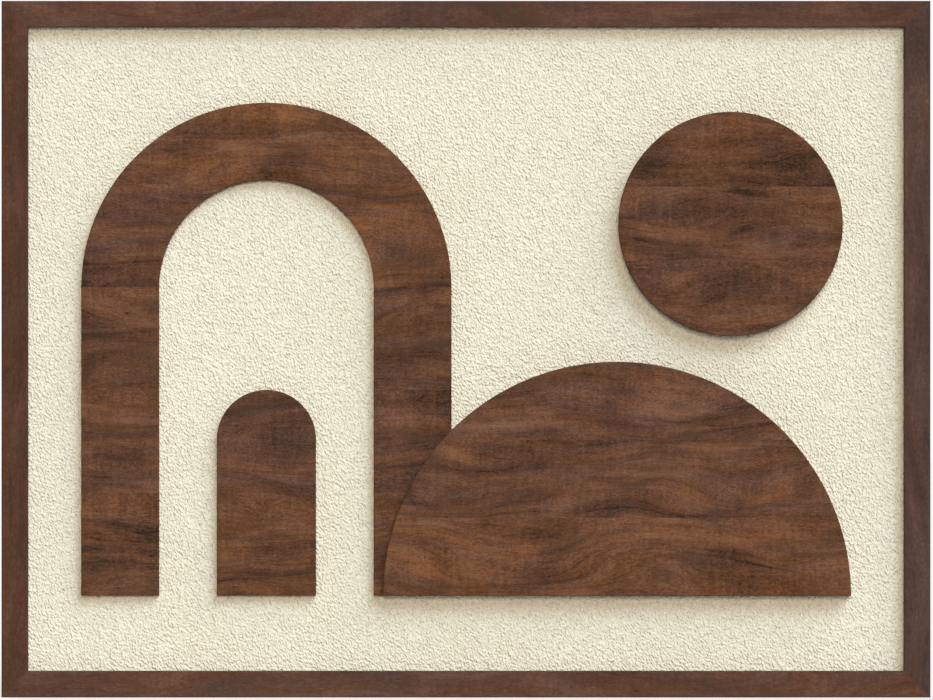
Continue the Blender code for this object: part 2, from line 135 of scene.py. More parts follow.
class WallPanelColours(bpy.types.PropertyGroup):
    """Colours of the finishes.

    Walnut runs from dark to light in a red and a grey range, with murky patches.
    """

    relief_red_dark: colour("Relief red dark", "#2C1A0E", "Dark streaks in the red range of the relief")
    relief_red: colour("Relief red", "#613C22", "Middle of the red range of the relief")
    relief_red_light: colour("Relief red light", "#865734", "Light streaks in the red range of the relief")
    relief_grey_dark: colour("Relief grey dark", "#2A1B12", "Dark streaks in the grey range of the relief")
    relief_grey: colour("Relief grey", "#583C31", "Middle of the grey range of the relief")
    relief_grey_light: colour("Relief grey light", "#7B5949", "Light streaks in the grey range of the relief")
    relief_murk: colour("Relief murk", "#3D2D1E", "Olive-brown patches of the relief")
    frame_red_dark: colour("Frame red dark", "#40281A", "Dark streaks in the red range of the frame")
    frame_red: colour("Frame red", "#573525", "Middle of the red range of the frame")
    frame_red_light: colour("Frame red light", "#6D4732", "Light streaks in the red range of the frame")
    frame_grey_dark: colour("Frame grey dark", "#3E2D27", "Dark streaks in the grey range of the frame")
    frame_grey: colour("Frame grey", "#533D34", "Middle of the grey range of the frame")
    frame_grey_light: colour("Frame grey light", "#6A5045", "Light streaks in the grey range of the frame")
    frame_murk: colour("Frame murk", "#423226", "Olive-brown patches of the frame")
    plaster: colour("Plaster", "#F1ECD9", "Cream of the plaster")
    plaster_shade: colour("Plaster shade", "#EDE7D1", "Duller cream of the plaster's patches")
    # Painted shade: cream darkened in the stipple's hollows, where shade falls
    plaster_hollow_shade: colour("Plaster pit", "#E7E0C9", "Dusty cream in the hollows of the stipple")
    fibreboard: colour("Fibreboard", "#B3926B", "Raw fibreboard of the backing")
    fibreboard_fleck: colour("Fibreboard fleck", "#8A6A48", "Bark flecks in the fibreboard")
    pine: colour("Pine", "#D9B786", "Early wood of the pine strainer")
    pine_ring: colour("Pine ring", "#B98550", "Late wood lines of the pine strainer")
    beech: colour("Beech", "#C79E74", "Pressed beech of the biscuits")
    beech_ray: colour("Beech ray", "#9E7148", "Ray flecks of the pressed beech")
    zinc: colour("Zinc", "#C2C5C8", "Bright zinc plate")
    zinc_dull: colour("Zinc dull", "#9EA2A5", "Handled, duller zinc plate")
    floor: colour("Floor", "#F4F3F1", "Pale studio floor, as the camera sees it")
    floor_bounce: colour("Floor bounce", "#B3B2AF", "Studio floor, as it throws light back at the panel")
    key: colour("Key", "#DAEFFF", "Cool light of the lamp at the upper right")
    front: colour("Front", "#FFEEDC", "Warm light of the lamp by the camera, which with the key makes white")
    back: colour("Back", "#FFFFFF", "Light of the lamp behind the panel")


class WallPanelLight(bpy.types.PropertyGroup):
    """The studio's light and lens."""

    key: amount("Key", 1.79, "Strength of the soft lamp at the front, upper right")
    key_spread: angle("Key spread", 32, "Width of the key lamp, as an angle")
    front: amount("Front", 1.53, "Strength of the soft lamp by the camera")
    front_spread: angle("Front spread", 12, "Width of the front lamp, as an angle")
    rake: amount("Rake", 1.155, "Strength of the wide lamp that rakes the face")
    rake_spread: angle("Rake spread", 50, "Width of the raking lamp, as an angle")
    back: amount("Back", 2.3, "Strength of the soft lamp behind the panel")
    fill: amount("Fill", 0.06, "Light from all round")
    floor_glow: amount("Floor glow", 0.55, "Share of plain white that the camera sees in the floor")
    lens: amount("Lens", 400, "Focal length of the camera in millimetres")


def settings():
    scene = bpy.context.scene
    return scene.wall_panel_sizes, scene.wall_panel_colours


def feed(tree, node, inputs):
    """Gives a node's inputs their values, or links them to other sockets."""
    for key, value in inputs.items():
        if isinstance(value, bpy.types.NodeSocket):
            tree.links.new(value, node.inputs[key])
        else:
            node.inputs[key].default_value = value


def add(tree, kind, inputs=None, **choices):
    """Adds a node with its choices and its inputs."""
    made = tree.nodes.new(kind)
    for name, value in choices.items():
        setattr(made, name, value)
    feed(tree, made, inputs or {})
    return made


def new_material(name):
    made = bpy.data.materials.new(name)
    made.use_nodes = True
    return made, made.node_tree, made.node_tree.nodes["Principled BSDF"]


def per_metre(along, across, through):
    """Scale of a pattern whose features have these sizes in millimetres."""
    return 1000 / along, 1000 / across, 1000 / through


def figures(tree, place, features, roughness=0.5):
    """A material's soft random figures by name, from a table of their sizes in mm and their detail."""
    made = {}
    for name, (*size, detail) in features.items():
        inputs = {0: place, 1: per_metre(*size)}
        scaled = add(tree, "ShaderNodeVectorMath", inputs, operation="MULTIPLY").outputs[0]
        inputs = {"Vector": scaled, "Scale": 1.0, "Detail": detail, "Roughness": roughness}
        made[name] = add(tree, "ShaderNodeTexNoise", inputs).outputs[0]
    return made


# How far a board's number shifts its grain along, across and through, in metres
BOARD_SHIFT = (7.3, 5.7, 3.1)


def grain_place(tree, upright):
    """Coordinates along, across and through the grain, and the tone and the greyness of each board."""
    axes = add(tree, "ShaderNodeSeparateXYZ", {0: add(tree, "ShaderNodeTexCoord").outputs["Object"]}).outputs
    along, across = ("Z", "X") if upright else ("X", "Z")
    order = {"X": axes[along], "Y": axes[across], "Z": axes["Y"]}
    turned = add(tree, "ShaderNodeCombineXYZ", order).outputs[0]
    board = add(tree, "ShaderNodeAttribute", attribute_name="board").outputs["Vector"]
    own = add(tree, "ShaderNodeSeparateXYZ", {0: board}).outputs
    inputs = {0: BOARD_SHIFT, "Scale": own["X"]}
    shift = add(tree, "ShaderNodeVectorMath", inputs, operation="SCALE").outputs[0]
    place = add(tree, "ShaderNodeVectorMath", {0: turned, 1: shift}, operation="ADD").outputs[0]
    return place, own["Y"], own["Z"]


# The grain's waves and the cells that may hold a knot: along, across and through in mm, and the waves' detail
GRAIN = {"waves": (270, 80, 90, 1.0)}
KNOT_CELL = (150, 110, 110)
# How far a wave and a knot push the grain aside, in metres, and the share of a push that fine features follow
WAVE_PUSH = 0.10
KNOT_PUSH = 0.008
FINE_PUSH = 0.5
# How far a knot strays from the middle of its cell, and the share of cells that have none
KNOT_STRAY = 0.6
KNOT_FREE = 0.8
# Shares of a cell within which a knot bends the grain, and in which its dark heart starts and is darkest
KNOT_REACH = 0.16
KNOT_HEART = (0.022, 0.008)


def flow(tree, place):
    """The place bent in slow waves, which close into loops here and there, and round a few pin knots.

    Returns it bent in full, bent by less for the finest features, and the hearts of the knots.
    """
    waves = figures(tree, place, GRAIN)["waves"]
    inputs = {0: waves, 1: WAVE_PUSH, 2: -WAVE_PUSH / 2}
    wave = add(tree, "ShaderNodeMath", inputs, operation="MULTIPLY_ADD").outputs[0]
    inputs = {0: place, 1: per_metre(*KNOT_CELL)}
    cells = add(tree, "ShaderNodeVectorMath", inputs, operation="MULTIPLY").outputs[0]
    inputs = {"Vector": cells, "Scale": 1.0, "Randomness": KNOT_STRAY}
    knots = add(tree, "ShaderNodeTexVoronoi", inputs, voronoi_dimensions="2D").outputs
    chance = add(tree, "ShaderNodeSeparateColor", {0: knots["Color"]}).outputs[0]
    here = add(tree, "ShaderNodeMath", {0: chance, 1: KNOT_FREE}, operation="GREATER_THAN").outputs[0]
    inputs = {"Value": knots["Distance"], "From Min": KNOT_REACH, "From Max": 0.0}
    near = add(tree, "ShaderNodeMapRange", inputs, interpolation_type="SMOOTHSTEP").outputs[0]
    swell = add(tree, "ShaderNodeMath", {0: near, 1: here}, operation="MULTIPLY").outputs[0]
    inputs = {0: swell, 1: KNOT_PUSH, 2: wave}
    push = add(tree, "ShaderNodeMath", inputs, operation="MULTIPLY_ADD").outputs[0]
    inputs = {"Value": knots["Distance"], "From Min": KNOT_HEART[0], "From Max": KNOT_HEART[1]}
    core = add(tree, "ShaderNodeMapRange", inputs).outputs[0]
    heart = add(tree, "ShaderNodeMath", {0: core, 1: here}, operation="MULTIPLY").outputs[0]
    aside = add(tree, "ShaderNodeCombineXYZ", {"Y": push}).outputs[0]
    less = add(tree, "ShaderNodeVectorMath", {0: aside, "Scale": FINE_PUSH}, operation="SCALE").outputs[0]
    bent, gently = (
        add(tree, "ShaderNodeVectorMath", {0: place, 1: by}, operation="ADD").outputs[0]
        for by in (aside, less)
    )
    return bent, gently, heart


# Features of walnut: along, across and through the grain in mm, and detail
WALNUT = {
    "streaks": (27, 4.0, 9, 2.0),
    "bands": (130, 13, 30, 2.0),
    "patches": (120, 46, 60, 2.0),
    "curl": (6, 24, 20, 2.0),
    "greys": (100, 15, 40, 3.0),
    "murk": (120, 38, 60, 3.0),
    "lines": (380, 36, 60, 1.5),
}
# Those too fine to follow every bend of the grain
WALNUT_FINE = {
    "fibres": (3.2, 1.3, 4, 0.0),
    "flecks": (5, 1.9, 5, 1.0),
    "pores": (12, 1.6, 3, 0.0),
}
WALNUT_NOISE_ROUGHNESS = 0.55
# How much of a board's tone each of those features gives, and what dark marks and an arris's wear and painted
# sheen add to it
WALNUT_TONE = {"fibres": 0.55, "flecks": 0.50, "streaks": 0.46, "bands": 0.70, "patches": 1.05, "curl": 0.42}
WALNUT_MARKS = {"pores": -0.14, "lines": -0.22, "hearts": -0.6, "arris": 0.125}
# Values of a feature between which its mark grows from nothing to full
PORE_EDGE = (0.62, 0.80)
LINE_EDGE = (0.016, 0.004)
LINE_PATCHES = (0.55, 0.40)
MURK_EDGE = (0.55, 0.75)
# How far murk covers the wood, how much the greyness of a board varies, and a pore's height against a fleck's
MURK_SHARE = 0.7
GREY_SPREAD = 2.2
PORE_HEIGHT = -0.6
# Roughness of the oil between streaks and on them
OIL_ROUGHNESS = (0.68, 0.54)


def walnut_marks(tree, noises, heart):
    """The marks on walnut, each from 0 to 1: pores, lines in some patches, hearts of knots, and the wear and
    painted sheen of arrises and mitres.
    """
    inputs = {"Value": noises["pores"], "From Min": PORE_EDGE[0], "From Max": PORE_EDGE[1]}
    pores = add(tree, "ShaderNodeMapRange", inputs).outputs[0]
    off = add(tree, "ShaderNodeMath", {0: noises["lines"], 1: 0.5}, operation="SUBTRACT").outputs[0]
    off = add(tree, "ShaderNodeMath", {0: off}, operation="ABSOLUTE").outputs[0]
    inputs = {"Value": off, "From Min": LINE_EDGE[0], "From Max": LINE_EDGE[1]}
    lines = add(tree, "ShaderNodeMapRange", inputs).outputs[0]
    inputs = {"Value": noises["patches"], "From Min": LINE_PATCHES[0], "From Max": LINE_PATCHES[1]}
    some = add(tree, "ShaderNodeMapRange", inputs).outputs[0]
    lines = add(tree, "ShaderNodeMath", {0: lines, 1: some}, operation="MULTIPLY").outputs[0]
    arris = add(tree, "ShaderNodeAttribute", attribute_name="arris").outputs["Fac"]
    return {"pores": pores, "lines": lines, "hearts": heart, "arris": arris}


def walnut(name, reds, greys, murk, upright):
    """Walnut under a matte oil: streaks that flow round eyes, soft bands, murky patches and short dark pores.

    The fibres and the pores are drawn several times as wide as real ones, so that they show in the render.
    """
    made, tree, shader = new_material(name)
    place, tone, grey = grain_place(tree, upright)
    bent, gently, heart = flow(tree, place)
    noises = figures(tree, bent, WALNUT, WALNUT_NOISE_ROUGHNESS)
    noises |= figures(tree, gently, WALNUT_FINE, WALNUT_NOISE_ROUGHNESS)
    marks = walnut_marks(tree, noises, heart)
    middle = 0.5 - sum(WALNUT_TONE.values()) / 2
    level = add(tree, "ShaderNodeMath", {0: tone, 1: middle}, operation="ADD").outputs[0]
    for values, shares in ((noises, WALNUT_TONE), (marks, WALNUT_MARKS)):
        for kind, share in shares.items():
            inputs = {0: values[kind], 1: share, 2: level}
            level = add(tree, "ShaderNodeMath", inputs, operation="MULTIPLY_ADD").outputs[0]
    ranges = []
    for dark, mid, light in (reds, greys):
        ramp = add(tree, "ShaderNodeValToRGB", {"Fac": level})
        stops = ramp.color_ramp.elements
        stops[0].color, stops[1].color = dark, light
        stops.new(0.5).color = mid
        ranges.append(ramp.outputs[0])
    inputs = {0: noises["greys"], 1: GREY_SPREAD, 2: grey}
    greyness = add(tree, "ShaderNodeMath", inputs, operation="MULTIPLY_ADD", use_clamp=True).outputs[0]
    blend = add(tree, "ShaderNodeMix", {0: greyness, 6: ranges[0], 7: ranges[1]}, data_type="RGBA").outputs[2]
    edge = {"From Min": MURK_EDGE[0], "From Max": MURK_EDGE[1], "To Max": MURK_SHARE}
    murky = add(tree, "ShaderNodeMapRange", {"Value": noises["murk"], **edge}).outputs[0]
    stained = add(tree, "ShaderNodeMix", {0: murky, 6: blend, 7: murk}, data_type="RGBA").outputs[2]
    inputs = {"Value": noises["streaks"], "To Min": OIL_ROUGHNESS[0], "To Max": OIL_ROUGHNESS[1]}
    gloss = add(tree, "ShaderNodeMapRange", inputs).outputs[0]
    inputs = {0: marks["pores"], 1: PORE_HEIGHT, 2: noises["flecks"]}
    height = add(tree, "ShaderNodeMath", inputs, operation="MULTIPLY_ADD").outputs[0]
    bump = add(tree, "ShaderNodeBump", {"Strength": 0.35, "Distance": 0.0003, "Height": height}).outputs[0]
    looks = {"Base Color": stained, "Roughness": gloss, "Specular IOR Level": 0.08, "Normal": bump}
    feed(tree, shader, looks)
    return made


def walnut_colours(colours, use):
    """The red range and the grey range, each from dark to light, and the murk of the walnut for one use."""
    reds, greys = (
        [getattr(colours, f"{use}_{hue}{depth}") for depth in ("_dark", "", "_light")]
        for hue in ("red", "grey")
    )
    return reds, greys, getattr(colours, f"{use}_murk")


# The stipple's bumps lean, are narrower than tall, and come from a noise that is turned off its own grid
STIPPLE_LEAN = math.radians(25)
STIPPLE_STRETCH = (1.32, 0, 0.88)
STIPPLE_TURN = (0.6, 0.5, 0.7)


def stipple_place(tree, place):
    """The place in the plaster's plane, for leaning bumps that show none of the noise's own grid."""
    inputs = {"Vector": place, "Angle": STIPPLE_LEAN}
    leaned = add(tree, "ShaderNodeVectorRotate", inputs, rotation_type="Y_AXIS").outputs[0]
    flat = add(tree, "ShaderNodeVectorMath", {0: leaned, 1: STIPPLE_STRETCH}, operation="MULTIPLY").outputs[0]
    inputs = {"Vector": flat, "Rotation": STIPPLE_TURN}
    return add(tree, "ShaderNodeVectorRotate", inputs, rotation_type="EULER_XYZ").outputs[0]


def lime_plaster(sizes, colours):
    """Lime plaster stippled with a stiff brush: a dry cream with faint patches, and painted shade that
    darkens its hollows.
    """
    patch_mm = 150
    made, tree, shader = new_material("Stippled lime plaster")
    place = add(tree, "ShaderNodeTexCoord").outputs["Object"]
    inputs = {"Vector": place, "Scale": 1000 / patch_mm, "Detail": 2.0}
    patches = add(tree, "ShaderNodeTexNoise", inputs).outputs[0]
    share = add(tree, "ShaderNodeMapRange", {"Value": patches, "From Min": 0.35, "From Max": 0.65}).outputs[0]
    inputs = {0: share, 6: colours.plaster_shade, 7: colours.plaster}
    cream = add(tree, "ShaderNodeMix", inputs, data_type="RGBA").outputs[2]
    inputs = {"Vector": stipple_place(tree, place), "Scale": 1 / sizes.stipple, "Detail": 0.0}
    ridges = add(tree, "ShaderNodeTexNoise", inputs).outputs[0]
    # Painted shade: the hollows of the stipple are tinted darker, as where shade falls
    unshaded = add(tree, "ShaderNodeMapRange", {"Value": ridges, "From Min": 0.33, "From Max": 0.67}).outputs[0]
    inputs = {0: unshaded, 6: colours.plaster_hollow_shade, 7: cream}
    pit_shaded = add(tree, "ShaderNodeMix", inputs, data_type="RGBA").outputs[2]
    inputs = {"Strength": 1.0, "Distance": sizes.stipple_bite, "Height": ridges}
    bump = add(tree, "ShaderNodeBump", inputs).outputs[0]
    feed(tree, shader, {"Base Color": pit_shaded, "Roughness": 0.92, "Specular IOR Level": 0.2, "Normal": bump})
    return made


def raw_fibreboard(colours):
    """Raw fibreboard: pressed brown fibres with darker bark flecks, dull all over."""
    fibre_mm, cloud_mm, cloud_share = 1.6, 120, 0.25
    made, tree, shader = new_material("Raw fibreboard")
    place = add(tree, "ShaderNodeTexCoord").outputs["Object"]
    fibres, cloud = (
        add(tree, "ShaderNodeTexNoise", {"Vector": place, "Scale": 1000 / size, "Detail": 2.0}).outputs[0]
        for size in (fibre_mm, cloud_mm)
    )
    inputs = {0: cloud, 1: cloud_share, 2: fibres}
    both = add(tree, "ShaderNodeMath", inputs, operation="MULTIPLY_ADD").outputs[0]
    fleck = add(tree, "ShaderNodeMapRange", {"Value": both, "From Min": 0.45, "From Max": 0.95}).outputs[0]
    inputs = {0: fleck, 6: colours.fibreboard, 7: colours.fibreboard_fleck}
    brown = add(tree, "ShaderNodeMix", inputs, data_type="RGBA").outputs[2]
    bump = add(tree, "ShaderNodeBump", {"Strength": 0.25, "Distance": 0.0003, "Height": fibres}).outputs[0]
    feed(tree, shader, {"Base Color": brown, "Roughness": 0.88, "Normal": bump})
    return made


# Features of pine and of beech: along, across and through the grain in mm, and detail
PINE = {"growth": (700, 40, 40, 1.0), "fibres": (50, 1.5, 3, 2.0)}
BEECH = {"rays": (3, 0.8, 3, 1.0)}


def planed_pine(name, colours, upright):
    """Planed pine: pale wood with narrow orange ring lines along its length and a slight silk."""
    rings_per_growth, ring_sharpness = 18.0, 3.0
    made, tree, shader = new_material(name)
    grain, _, _ = grain_place(tree, upright)
    growth, fibres = figures(tree, grain, PINE).values()
    rings = add(tree, "ShaderNodeMath", {0: growth, 1: rings_per_growth}, operation="MULTIPLY").outputs[0]
    within = add(tree, "ShaderNodeMath", {0: rings}, operation="FRACT").outputs[0]
    line = add(tree, "ShaderNodeMath", {0: within, 1: ring_sharpness}, operation="POWER").outputs[0]
    share = add(tree, "ShaderNodeMath", {0: line, 1: fibres}, operation="MULTIPLY", use_clamp=True).outputs[0]
    inputs = {0: share, 6: colours.pine, 7: colours.pine_ring}
    wood = add(tree, "ShaderNodeMix", inputs, data_type="RGBA").outputs[2]
    gloss = add(tree, "ShaderNodeMapRange", {"Value": fibres, "To Min": 0.70, "To Max": 0.55}).outputs[0]
    bump = add(tree, "ShaderNodeBump", {"Strength": 0.2, "Distance": 0.0003, "Height": fibres}).outputs[0]
    feed(tree, shader, {"Base Color": wood, "Roughness": gloss, "Specular IOR Level": 0.3, "Normal": bump})
    return made


def pressed_beech(colours):
    """Pressed beech, as in jointing biscuits: plain pinkish wood with short brown ray flecks."""
    made, tree, shader = new_material("Pressed beech")
    grain, _, _ = grain_place(tree, False)
    rays = figures(tree, grain, BEECH)["rays"]
    share = add(tree, "ShaderNodeMapRange", {"Value": rays, "From Min": 0.55, "From Max": 0.75}).outputs[0]
    inputs = {0: share, 6: colours.beech, 7: colours.beech_ray}
    wood = add(tree, "ShaderNodeMix", inputs, data_type="RGBA").outputs[2]
    feed(tree, shader, {"Base Color": wood, "Roughness": 0.7})
    return made


# Rub marks on zinc: across, through and up in mm, and detail
ZINC = {"rubs": (0.4, 0.4, 4, 2.0)}


def zinc_plate(colours):
    """Bright zinc plate on pressed steel: a cool grey metal, cloudy where handled, with fine rub marks.

    The rub marks are drawn wider than real ones, so that they show in the render.
    """
    cloud_mm = 5
    made, tree, shader = new_material("Zinc-plated steel")
    place = add(tree, "ShaderNodeTexCoord").outputs["Object"]
    inputs = {"Vector": place, "Scale": 1000 / cloud_mm, "Detail": 3.0}
    cloud = add(tree, "ShaderNodeTexNoise", inputs).outputs[0]
    inputs = {0: cloud, 6: colours.zinc_dull, 7: colours.zinc}
    metal = add(tree, "ShaderNodeMix", inputs, data_type="RGBA").outputs[2]
    gloss = add(tree, "ShaderNodeMapRange", {"Value": cloud, "To Min": 0.45, "To Max": 0.24}).outputs[0]
    rubs = figures(tree, place, ZINC)["rubs"]
    bump = add(tree, "ShaderNodeBump", {"Strength": 0.1, "Distance": 0.0001, "Height": rubs}).outputs[0]
    feed(tree, shader, {"Base Color": metal, "Metallic": 1.0, "Roughness": gloss, "Normal": bump})
    return made


def finish_mesh(mesh, finish, smooth_angle=SMOOTH_ANGLE):
    """Gives a mesh its one finish, and smooth shading that stops at sharp edges and where an arris starts."""
    mesh.materials.clear()
    mesh.materials.append(finish)
    if smooth_angle == FLAT:
        mesh.shade_flat()
        return
    mesh.shade_smooth()
    mesh.set_sharp_from_angle(angle=math.radians(smooth_angle))
    bm = bmesh.new()
    bm.from_mesh(mesh)
    layer = bm.faces.layers.float.get("arris")
    if layer:
        for edge in bm.edges:
            edge.smooth = edge.smooth and len({face[layer] for face in edge.link_faces}) == 1
        bm.to_mesh(mesh)
    bm.free()


def mesh_of(bm, name):
    mesh = bpy.data.meshes.new(name)
    bm.to_mesh(mesh)
    bm.free()
    return mesh


def number_board(mesh, number, tone=0.0, grey=0.0):
    """Stores the number that shifts the grain of one board, with the board's tone and greyness."""
    values = mesh.attributes.new("board", "FLOAT_VECTOR", "FACE")
    values.data.foreach_set("vector", [number, tone, grey] * len(mesh.polygons))


def new_object(name, data):
    """A new object in the scene."""
    made = bpy.data.objects.new(name, data)
    bpy.context.scene.collection.objects.link(made)
    return made


def show(name, mesh, nodes, body="root"):
    """Makes a mesh a piece of the panel, in the place of the nodes that it stands for."""
    made = new_object(name, mesh)
    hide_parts(*nodes)
    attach(made, body)


def evaluated_mesh(obj, name):
    """A plain mesh of what an object's modifiers make, after which the object is removed."""
    graph = bpy.context.evaluated_depsgraph_get()
    mesh = bpy.data.meshes.new_from_object(obj.evaluated_get(graph))
    mesh.name = name
    data = obj.data
    bpy.data.objects.remove(obj)
    if data.users == 0:
        (bpy.data.curves if isinstance(data, bpy.types.Curve) else bpy.data.meshes).remove(data)
    return mesh


def new_tree(name, **inputs):
    """A geometry node tree with named inputs, and geometry as its output."""
    tree = bpy.data.node_groups.new(name, "GeometryNodeTree")
    for label, kind in inputs.items():
        tree.interface.new_socket(label, in_out="INPUT", socket_type=f"NodeSocket{kind}")
    tree.interface.new_socket("Geometry", in_out="OUTPUT", socket_type="NodeSocketGeometry")
    return tree


def end_tree(tree, geometry, finish):
    real = add(tree, "GeometryNodeRealizeInstances", {"Geometry": geometry})
    painted = add(tree, "GeometryNodeSetMaterial", {"Geometry": real.outputs[0], "Material": finish})
    add(tree, "NodeGroupOutput", {"Geometry": painted.outputs[0]})


def grow(name, tree, values, data=None):
    """A plain mesh of what a geometry node tree makes from these values."""
    host = new_object(name, data or bpy.data.meshes.new(name))
    modifier = host.modifiers.new(tree.name, "NODES")
    modifier.node_group = tree
    for item in tree.interface.items_tree:
        if item.in_out == "INPUT" and item.name in values:
            modifier[item.identifier] = values[item.name]
    return evaluated_mesh(host, name)


def span(nodes):
    """The lowest and highest corner of several nodes together."""
    boxes = [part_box(node) for node in nodes]
    low = Vector(min(b[0][i] for b in boxes) for i in range(3))
    high = Vector(max(b[1][i] for b in boxes) for i in range(3))
    return low, high


def arc(x, z, radius, start, end, step):
    """Points along an arc in the plane of the panel, with its angles in degrees."""
    pieces = max(2, round(abs(math.radians(end - start)) / step))
    turns = [math.radians(start + (end - start) * i / pieces) for i in range(pieces + 1)]
    return [(x + radius * math.cos(t), z + radius * math.sin(t)) for t in turns]


def ease_edges(bm, edges, width, steps):
    """Rounds edges, and marks the new faces as arris, which walnut lightens with wear and painted sheen."""
    layer = bm.faces.layers.float.get("arris") or bm.faces.layers.float.new("arris")
    made = bmesh.ops.bevel(
        bm, geom=edges, offset=width, offset_type="OFFSET", segments=steps, profile=0.5, affect="EDGES"
    )
    for face in made["faces"]:
        face[layer] = ARRIS_WEAR_AND_SHEEN


def slab(outline, back, front, sizes):
    """A flat outline given its thickness, with its front edges eased."""
    bm = bmesh.new()
    face = bm.faces.new([bm.verts.new((x, back, z)) for x, z in outline])
    raised = bmesh.ops.extrude_face_region(bm, geom=[face])["geom"]
    moved = [item for item in raised if isinstance(item, bmesh.types.BMVert)]
    bmesh.ops.translate(bm, verts=moved, vec=(0, front - back, 0))
    bmesh.ops.recalc_face_normals(bm, faces=bm.faces)
    rim = [edge for edge in bm.edges if all(abs(v.co.y - front) < TINY for v in edge.verts)]
    ease_edges(bm, rim, sizes.arris, sizes.arris_steps)
    return bm


def saw(bm, point, normal):
    """Cuts a solid at a plane, drops what is on the normal's side, closes the cut and returns its faces."""
    geometry = [*bm.verts, *bm.edges, *bm.faces]
    made = bmesh.ops.bisect_plane(
        bm, geom=geometry, dist=TINY, plane_co=point, plane_no=normal, clear_outer=True
    )
    rim = [item for item in made["geom_cut"] if isinstance(item, bmesh.types.BMEdge)]
    if not rim:
        return []
    closed = bmesh.ops.edgeloop_fill(bm, edges=rim)["faces"]
    bmesh.ops.recalc_face_normals(bm, faces=bm.faces)
    return closed


def subtract(mesh, low, high):
    """A mesh with a box cut out of it."""
    cutter = bmesh.new()
    place = Matrix.Translation((low + high) / 2) @ Matrix.Diagonal((*(high - low), 1))
    bmesh.ops.create_cube(cutter, size=1, matrix=place)
    tool = new_object("housing", mesh_of(cutter, "housing"))
    blank = new_object("blank", mesh)
    blank.modifiers.new("housing", "BOOLEAN").object = tool
    made = evaluated_mesh(blank, mesh.name)
    bpy.data.objects.remove(tool)
    return made


def break_edges(bm, low, high, width):
    """Planes off the edges of a solid's box, whatever is cut into its faces, and marks them as arris, with
    the share of wear and painted sheen of an eased edge.
    """
    layer = bm.faces.layers.float.new("arris")
    for axes in ((0, 1), (1, 2), (2, 0)):
        for ends in ((low, low), (low, high), (high, low), (high, high)):
            point, normal = low.copy(), Vector()
            for axis, corner in zip(axes, ends):
                normal[axis] = 1 if corner is high else -1
                point[axis] = corner[axis] - normal[axis] * width / 2
            for face in saw(bm, point, normal):
                face[layer] = ARRIS_WEAR_AND_SHEEN


# Faces that meet at less than the first angle are one flat face, and edges past the second are broken
COPLANAR = math.radians(0.5)
SHARP = math.radians(50)
BROKEN_EDGE_STEPS = 2


def dress(node, finish, edge, board=0.0, squared=False):
    """Shows a copy of a node's solid with its edges broken, or, if it is squared, only those of its box."""
    bm = bmesh.new()
    bm.from_mesh(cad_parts[node].data)
    bmesh.ops.remove_doubles(bm, verts=bm.verts, dist=MERGE)
    if squared:
        break_edges(bm, *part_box(node), edge)
    else:
        bmesh.ops.dissolve_limit(bm, angle_limit=COPLANAR, verts=bm.verts, edges=bm.edges)
        sharp = [e for e in bm.edges if e.is_manifold and e.calc_face_angle() > SHARP]
        ease_edges(bm, sharp, edge, BROKEN_EDGE_STEPS)
    mesh = mesh_of(bm, f"{node} dressed")
    number_board(mesh, board)
    finish_mesh(mesh, finish, FLAT if squared else SMOOTH_ANGLE)
    show(f"{node}.dressed", mesh, [node])


class WALLPANEL_OT_frame(bpy.types.Operator):
    """Make the four mitred rails of the frame, with eased front edges"""

    bl_idname = "wall_panel.frame"
    bl_label = "Frame"

    def execute(self, context):
        sizes, colours = settings()
        level = walnut("Stained walnut, level", *walnut_colours(colours, "frame"), False)
        upright = walnut("Stained walnut, upright", *walnut_colours(colours, "frame"), True)
        sides = (
            # Node, finish, and the board's number, tone and greyness
            ("frame_left_stile", upright, 1.5, -0.22, -0.95),
            ("frame_top_rail", level, 2.5, 0.00, -0.60),
            ("frame_right_stile", upright, 3.5, -0.18, -0.10),
            ("frame_bottom_rail", level, 4.5, 0.04, -0.60),
        )
        for quarter, (node, finish, *board) in enumerate(sides):
            mesh = self.rail(node, quarter, sizes)
            number_board(mesh, *board)
            finish_mesh(mesh, finish)
            show(f"{node}.dressed", mesh, [node])
        return {"FINISHED"}

    def rail(self, node, quarter, sizes):
        """An L section swept between two mitres, in a frame with X running in from the outer edge."""
        low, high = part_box(node)
        panel_low, panel_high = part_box("plaster_face")
        level = quarter % 2
        run = (high.x - low.x) if level else (high.z - low.z)
        face = (high.z - low.z) if level else (high.x - low.x)
        outer = (-low.x, high.z, high.x, -low.z)[quarter]
        panel = panel_high.z if level else panel_high.x
        rabbet = outer - panel - sizes.fit
        lip_back = panel_low.y - sizes.fit
        ease = sizes.arris
        front = low.y
        step = math.radians(90) / sizes.arris_steps
        section = [(0, high.y), *arc(ease, front + ease, ease, 180, 270, step)]
        section += arc(face - ease, front + ease, ease, 270, 360, step)
        section += [(face, lip_back), (rabbet, lip_back), (rabbet, high.y)]
        bm = bmesh.new()
        layer = bm.faces.layers.float.new("arris")
        corner = (run + sizes.fit - sizes.glue_line) / 2
        rings = []
        for reach in (-corner, sizes.mitre_sheen - corner, corner - sizes.mitre_sheen, corner):
            way = math.copysign(1, reach)
            rings.append([bm.verts.new((x, y, reach - way * x)) for x, y in section])
        for ring, after in zip(rings, rings[1:]):
            # Painted sheen: the strips at the mitres are lighter in full, and eased edges get wear and
            # painted sheen
            mitre_strip = ring is rings[0] or after is rings[-1]
            for i in range(len(section)):
                j = (i + 1) % len(section)
                side = bm.faces.new((ring[i], ring[j], after[j], after[i]))
                eased = abs(section[i][0] - section[j][0]) * abs(section[i][1] - section[j][1]) > 0
                side[layer] = MITRE_SHEEN if mitre_strip else ARRIS_WEAR_AND_SHEEN if eased else 0.0
        for ring in (rings[0], rings[-1]):
            bm.faces.new(ring)
        bmesh.ops.recalc_face_normals(bm, faces=bm.faces)
        turn = Matrix.Rotation(math.radians(90 * quarter), 4, "Y")
        bm.transform(turn @ Matrix.Translation((-outer, 0, 0)))
        return mesh_of(bm, f"{node} dressed")


